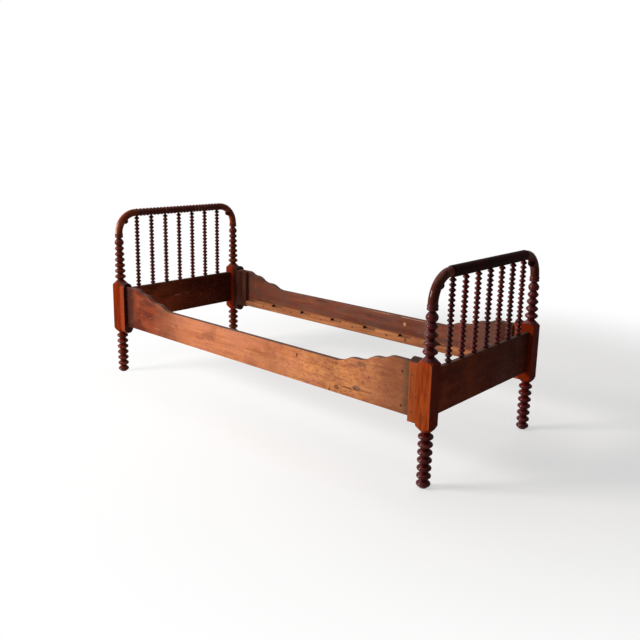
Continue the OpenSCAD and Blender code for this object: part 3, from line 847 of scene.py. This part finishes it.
boardFinishes = {
    "sideRailWood": {"along": "x", "dark": "aa5f3a", "light": "c98354", "edge": "dba883", "stain": "5a3022",
                     "rough": 0.55, "mirror": 0.10, "streaks": 30.0, "stretch": 16.0, "rings": 3.0,
                     "worn": 0.5, "bump": (0.0004, 0.6), "dress": dressRail},
    "panelWood": {"along": "y", "dark": "3c150c", "light": "642715", "edge": "6a4436", "stain": "1c0705",
                  "rough": 0.50, "mirror": 0.015, "streaks": 24.0, "stretch": 14.0, "rings": 3.0,
                  "worn": 0.6, "bump": (0.0003, 0.6), "dress": dressPanel},
    "hookBlockWood": {"along": "z", "dark": "883b16", "light": "a85223", "edge": "a86036", "stain": "3a160c",
                      "rough": 0.50, "mirror": 0.08, "streaks": 60.0, "stretch": 12.0, "rings": 5.0,
                      "worn": 0.4, "bump": (0.0003, 0.6), "dress": dressHookBlock},
    "ledgeWood": {"along": "x", "dark": "8c5030", "light": "bf7f52", "edge": "cf9a72", "stain": "3a2418",
                  "rough": 0.65, "mirror": 0.10, "streaks": 50.0, "stretch": 18.0, "rings": 4.0,
                  "worn": 0.6, "bump": (0.0005, 0.6), "dress": dressLedge},
    "cleatWood": {"along": "z", "dark": "3a1c12", "light": "5c3324", "edge": "6a5040", "stain": "180c08",
                  "rough": 0.70, "mirror": 0.08, "streaks": 40.0, "stretch": 10.0, "rings": 5.0,
                  "worn": 0.6, "bump": (0.0005, 0.6)},
    "dowelWood": {"along": "y", "dark": "9a6a3c", "light": "c8a06c", "edge": "d8b888", "stain": "5a4030",
                  "rough": 0.60, "mirror": 0.30, "streaks": 70.0, "stretch": 16.0, "rings": 3.0,
                  "worn": 0.5, "bump": (0.0003, 0.6)},
}

# what all boards share
boardWear = {
    "clouds": 6.0,
    "specks": 380.0,
    "streaks": (0.3, 0.7),
    "figure": 0.3,           # the broad figure's part in the colour; the streaks have the rest
    "pores": 0.3,
    "grime": 0.25,
    "grimeClouds": (0.55, 1.0),
    "scratches": 0.3,
    "roughClouds": 0.2,
    "edgeWidth": 0.003,
    "edgeBreaks": 60.0,
}


def makeBoardFinish(name):
    s = boardFinishes[name]
    wear = boardWear
    material, tree, shader, spot = startFinish(name)
    grain = grainOn(tree, spot, s)
    varnish = varnishOn(tree, spot, wear)
    edge = useGroup(tree, wornEdge, {"Vector": spot, "Width": wear["edgeWidth"], "Breaks": wear["edgeBreaks"],
                                     "Amount": s["worn"]})["Edge"]
    streak = times(tree, fade(tree, grain["Streak"], *wear["streaks"]), 1 - wear["figure"])
    mixed = maths(tree, "MULTIPLY_ADD", grain["Figure"], wear["figure"], streak)
    colour = blend(tree, mixed, paint(s["dark"]), paint(s["light"]))
    if "dress" in s:
        colour = s["dress"](tree, colour, {"spot": spot, "grain": grain, "varnish": varnish})
    colour = lay(tree, colour, (s["stain"], wear["pores"]), grain["Pores"])
    grimy = fade(tree, varnish["Cloud"], *wear["grimeClouds"])
    colour = lay(tree, colour, (s["stain"], wear["grime"]), grimy)
    colour = lay(tree, colour, (s["edge"], 1.0), edge)
    colour = lay(tree, colour, (s["edge"], wear["scratches"]), varnish["Scratches"])
    rough = maths(tree, "MULTIPLY_ADD", varnish["Cloud"], wear["roughClouds"], s["rough"])
    endFinish(tree, shader, s, colour, rough, grain["Height"])
    return material


boards = {name: makeBoardFinish(name) for name in boardFinishes}
print("boards' wood ready")


ironFinishes = {
    "hookIron": {"dark": "1c1815", "bright": "4a443e", "rust": "5a3420", "rough": 0.4, "metal": 0.7},
    "rivetIron": {"dark": "3c160c", "bright": "6a3020", "rust": "54200f", "rough": 0.6, "metal": 0.0},
    "pinIron": {"dark": "54220e", "bright": "7c3c1e", "rust": "6a2c12", "rough": 0.6, "metal": 0.0},
}

# what all irons share
ironWear = {
    "clouds": 60.0,
    "specks": 900.0,
    "rusty": 0.5,
    "grit": 700.0,
    "gritDetail": 4.0,
    "roughGrit": 0.3,
    "mirror": 0.15,
    "bump": (0.0002, 0.6),
}


def makeIronFinish(name):
    s = dict(ironWear, **ironFinishes[name])
    material, tree, shader, spot = startFinish(name)
    varnish = varnishOn(tree, spot, s)
    grit = noise(tree, spot, s["grit"], s["gritDetail"])
    colour = blend(tree, grit, paint(s["dark"]), paint(s["bright"]))
    colour = lay(tree, colour, (s["rust"], s["rusty"]), varnish["Cloud"])
    shader.inputs["Metallic"].default_value = s["metal"]
    endFinish(tree, shader, s, colour, maths(tree, "MULTIPLY_ADD", grit, s["roughGrit"], s["rough"]), grit)
    return material


irons = {name: makeIronFinish(name) for name in ironFinishes}

# the first word found in a piece's name gives its finish
finishOf = {
    "spindle": spindleWood,
    "head_top_rail": headRailWood,
    "foot_top_rail": rollWood,
    "bend": bendWood,
    "button": rollWood,
    "hook_block": boards["hookBlockWood"],
    "post": postWood,
    "panel": boards["panelWood"],
    "side_rail": boards["sideRailWood"],
    "cleat": boards["cleatWood"],
    "slat_ledge": boards["ledgeWood"],
    "dowels": boards["dowelWood"],
    "iron": irons["hookIron"],
    "pins": irons["pinIron"],
    "rivets": irons["rivetIron"],
    "ledge_screws": irons["hookIron"],
}

for name, node in nodes.items():
    finish = next(material for word, material in finishOf.items() if word in name)
    for slot in node.material_slots:
        slot.material = finish
print("finishes laid on")


# how far the sharp edges of each kind of board are planed off
easing = {
    "side_rail": 0.0014,
    "panel": 0.0010,
    "hook_block": 0.0013,
    "cleat": 0.0016,
    "slat_ledge": 0.0012,
}

edgeRules = {
    "merge": 0.00001,
    "flat": 0.5,             # faces that meet at less than this, in degrees, become one
    "sharp": 35,             # edges that turn by more than this, in degrees, are eased
    "shortest": 4,           # but not those shorter than this many easings, such as the rims of small holes
    "smooth": 32,            # edges that turn by less than this, in degrees, are shaded round
    "steps": 2,              # faces across an eased edge
}

# the top of this cleat was cut lower: all that lies above a height comes down
cleatCut = {"piece": "foot_cleat_near", "above": 0.430, "by": 0.011}


def mergedCopy(nodeName):
    # the same board as one clean mesh
    bpy.ops.object.select_all(action="DESELECT")
    source = nodes[nodeName]
    source.select_set(True)
    bpy.context.view_layer.objects.active = source
    bpy.ops.object.duplicate()
    piece = bpy.context.active_object
    piece.name = nodeName + "_worn"
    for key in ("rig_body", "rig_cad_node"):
        del piece[key]
    piece.parent = None
    bpy.ops.object.mode_set(mode="EDIT")
    bpy.ops.mesh.select_all(action="SELECT")
    bpy.ops.mesh.remove_doubles(threshold=edgeRules["merge"])
    bpy.ops.mesh.customdata_custom_splitnormals_clear()
    bpy.ops.mesh.dissolve_limited(angle_limit=math.radians(edgeRules["flat"]))
    bpy.ops.mesh.select_all(action="DESELECT")
    bpy.ops.object.mode_set(mode="OBJECT")
    return piece


def lowerTop(mesh):
    for corner in mesh.vertices:
        corner.select = corner.co.z > cleatCut["above"]
    bpy.ops.object.mode_set(mode="EDIT")
    bpy.ops.transform.translate(value=(0, 0, -cleatCut["by"]))
    bpy.ops.mesh.select_all(action="DESELECT")
    bpy.ops.object.mode_set(mode="OBJECT")


def selectSharpEdges(mesh, ease):
    normals = {}
    for face in mesh.polygons:
        for key in face.edge_keys:
            normals.setdefault(key, []).append(face.normal.copy())
    for edge in mesh.edges:
        sides = normals.get(edge.key, [])
        start, end = (mesh.vertices[i].co for i in edge.vertices)
        sharp = len(sides) == 2 and sides[0].angle(sides[1], 0) > math.radians(edgeRules["sharp"])
        edge.select = sharp and (start - end).length > edgeRules["shortest"] * ease


def easedCopy(nodeName, ease):
    # the same board with its sharp outer edges planed off
    piece = mergedCopy(nodeName)
    if nodeName == cleatCut["piece"]:
        lowerTop(piece.data)
    selectSharpEdges(piece.data, ease)
    bpy.ops.object.mode_set(mode="EDIT")
    bpy.ops.mesh.bevel(offset=ease, segments=edgeRules["steps"], affect="EDGES", clamp_overlap=True)
    bpy.ops.object.mode_set(mode="OBJECT")
    bpy.ops.object.shade_smooth_by_angle(angle=math.radians(edgeRules["smooth"]))
    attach(piece, "root")
    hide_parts(nodeName)


for word, ease in easing.items():
    for name in sorted(nodes):
        if word in name:
            easedCopy(name, ease)
print("boards eased")


studio = {
    "near": 0.52,            # how much of the background's white the floor takes next to the bed
    "middle": (0.6, 0.7, 0.0),
    "fadeFrom": 0.9,         # distance from the middle at which the floor begins to run into the white
    "fadeTo": 2.4,
    "world": 0.08,
}

floorFinish = {
    "size": 30.0,
    "dark": "f4f3f1",
    "light": "fbfaf9",
    "clouds": 1.4,
    "cloudDetail": 5.0,
    "cloudRough": 0.6,
    "rough": 0.7,
    "roughClouds": 0.15,
    "mirror": 0.2,
    "bump": (0.001, 0.2),
}

lamps = {
    "window": {"place": (-2.6, -3.7, 2.3), "aim": (0.1, 0.0, 0.30), "size": 1.5, "power": 265.0,
               "tint": "fffaf6"},
    "top": {"place": (-0.4, 0.0, 3.2), "aim": (-0.1, 0.1, 0.0), "size": 3.2, "power": 48.0,
            "tint": "ffffff"},
}

eye = {
    "place": (2.2854, -2.4715, 1.2292),
    "turn": 41.619,          # degrees from straight along +Y, towards -X
    "down": 12.168,
    "roll": 1.213,
    "lens": 41.01,
    "sensor": 36.0,
    "rise": -0.038,
}


def whiteToCamera(tree, output, shader, amount):
    # the camera and shiny surfaces see plain white by this amount; the light in the room stays as it is
    white = place(tree, "Emission", {"Color": (1, 1, 1, 1), "Strength": 1.0})[0]
    ray = place(tree, "LightPath")
    shiny = maths(tree, "MAXIMUM", ray["Is Glossy Ray"], ray["Is Transmission Ray"])
    seen = times(tree, maths(tree, "MAXIMUM", ray["Is Camera Ray"], shiny), amount)
    mixed = place(tree, "MixShader", {0: seen, 1: shader, 2: white})[0]
    tree.links.new(mixed, output.inputs["Surface"])


def makeFloor():
    s = floorFinish
    bpy.ops.object.select_all(action="DESELECT")
    bpy.ops.mesh.primitive_plane_add(size=s["size"])
    floor = bpy.context.active_object
    floor.name = "floor"
    material, tree, shader, spot = startFinish("paintedFloor")
    wide = noise(tree, spot, s["clouds"], s["cloudDetail"], s["cloudRough"])
    colour = blend(tree, wide, paint(s["dark"]), paint(s["light"]))
    rough = maths(tree, "MULTIPLY_ADD", wide, s["roughClouds"], s["rough"])
    endFinish(tree, shader, s, colour, rough, wide)
    away = vectorMaths(tree, "DISTANCE", spot, studio["middle"])["Value"]
    beyond = fade(tree, away, studio["fadeFrom"], studio["fadeTo"])
    whiteToCamera(tree, tree.nodes["Material Output"], shader.outputs[0],
                  maths(tree, "MULTIPLY_ADD", beyond, 1 - studio["near"], studio["near"]))
    floor.data.materials.append(material)


def makeLamp(name):
    s = lamps[name]
    data = bpy.data.lights.new(name, "AREA")
    data.shape = "SQUARE"
    data.size = s["size"]
    data.energy = s["power"]
    data.color = paint(s["tint"])[:3]
    lamp = bpy.data.objects.new(name, data)
    lamp.location = s["place"]
    lamp.rotation_euler = (Vector(s["aim"]) - Vector(s["place"])).to_track_quat("-Z", "Y").to_euler()
    bpy.context.scene.collection.objects.link(lamp)


def makeCamera():
    data = bpy.data.cameras.new("camera")
    data.lens = eye["lens"]
    data.sensor_width = eye["sensor"]
    data.shift_y = eye["rise"]
    camera = bpy.data.objects.new("camera", data)
    looking = Euler((math.radians(90 - eye["down"]), 0, math.radians(eye["turn"]))).to_matrix()
    rolled = looking @ Matrix.Rotation(math.radians(eye["roll"]), 3, "Z")
    camera.matrix_world = Matrix.Translation(eye["place"]) @ rolled.to_4x4()
    bpy.context.scene.collection.objects.link(camera)
    bpy.context.scene.camera = camera


def makeWorld():
    world = bpy.data.worlds.new("studioWorld")
    bpy.context.scene.world = world
    world.use_nodes = True
    tree = world.node_tree
    backdrop = tree.nodes["Background"]
    plug(tree, backdrop, {"Color": paint("ffffff"), "Strength": studio["world"]})
    whiteToCamera(tree, tree.nodes["World Output"], backdrop.outputs[0], 1.0)


makeFloor()
for lampName in lamps:
    makeLamp(lampName)
makeCamera()
makeWorld()
bpy.context.scene.view_settings.view_transform = "Standard"
print("studio set up")
